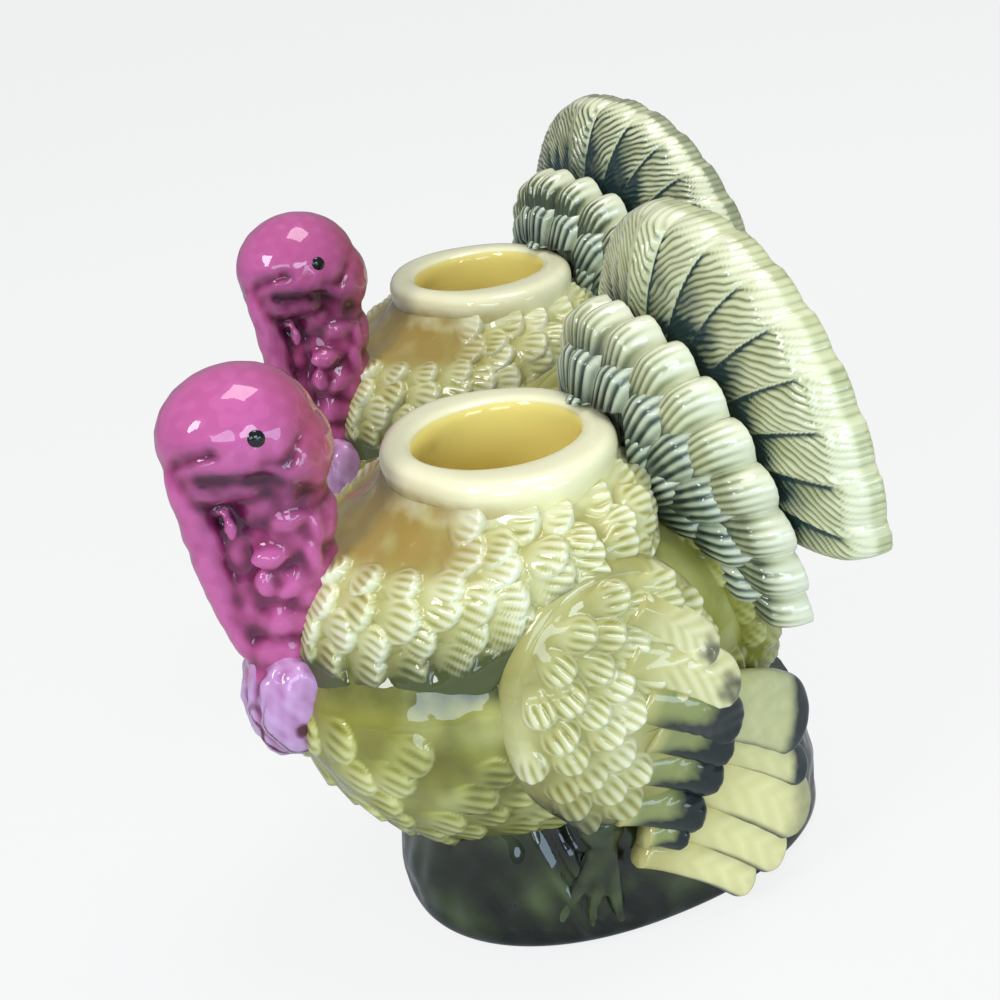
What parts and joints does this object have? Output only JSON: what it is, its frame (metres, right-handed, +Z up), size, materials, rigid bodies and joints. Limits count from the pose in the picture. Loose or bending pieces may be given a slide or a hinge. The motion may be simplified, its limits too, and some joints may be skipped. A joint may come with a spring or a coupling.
{
  "type": "turkey candle holders",
  "caption": "Matched glazed ceramic turkey figures that stand by themselves, each with a round socket in its back for a taper candle.",
  "frame": {"origin": "middle of the front bird's flat foot, on the table", "axes": "+Z up; the front bird faces -Y and +X is its left side; the rear bird stands 73 mm to its right and 28 mm back, turned by 7 degrees"},
  "size_m": [0.1422, 0.1133, 0.0933],
  "materials": {
    "cream_glaze": "gloss",
    "olive_glaze": "gloss",
    "teal_glaze": "gloss",
    "moss_glaze": "gloss",
    "plum_glaze": "gloss",
    "black_enamel": "gloss"
  },
  "bodies": {
    "root": {"front_candle_cup": "cream_glaze", "front_body": "olive_glaze", "front_mantle": "cream_glaze", "front_foot": "moss_glaze", "front_rump": "olive_glaze", "front_tail_coverts": "teal_glaze", "front_tail_ring": "cream_glaze", "front_tail_fan": "olive_glaze", "front_head": "plum_glaze", "front_neck": "plum_glaze", "front_snood": "plum_glaze", "front_beak": "plum_glaze", "front_wattle": "plum_glaze", "front_left_eye": "black_enamel", "front_right_eye": "black_enamel", "front_left_wing": "olive_glaze", "front_right_wing": "olive_glaze", "front_left_wing_tips": "teal_glaze", "front_right_wing_tips": "teal_glaze", "front_left_primaries": "cream_glaze", "front_right_primaries": "cream_glaze", "front_left_leg": "moss_glaze", "front_right_leg": "moss_glaze", "rear_candle_cup": "cream_glaze", "rear_body": "olive_glaze", "rear_mantle": "cream_glaze", "rear_foot": "moss_glaze", "rear_rump": "olive_glaze", "rear_tail_coverts": "teal_glaze", "rear_tail_ring": "cream_glaze", "rear_tail_fan": "olive_glaze", "rear_head": "plum_glaze", "rear_neck": "plum_glaze", "rear_snood": "plum_glaze", "rear_beak": "plum_glaze", "rear_wattle": "plum_glaze", "rear_left_eye": "black_enamel", "rear_right_eye": "black_enamel", "rear_left_wing": "olive_glaze", "rear_right_wing": "olive_glaze", "rear_left_wing_tips": "teal_glaze", "rear_right_wing_tips": "teal_glaze", "rear_left_primaries": "cream_glaze", "rear_right_primaries": "cream_glaze", "rear_left_leg": "moss_glaze", "rear_right_leg": "moss_glaze"}
  },
  "joints": []
}
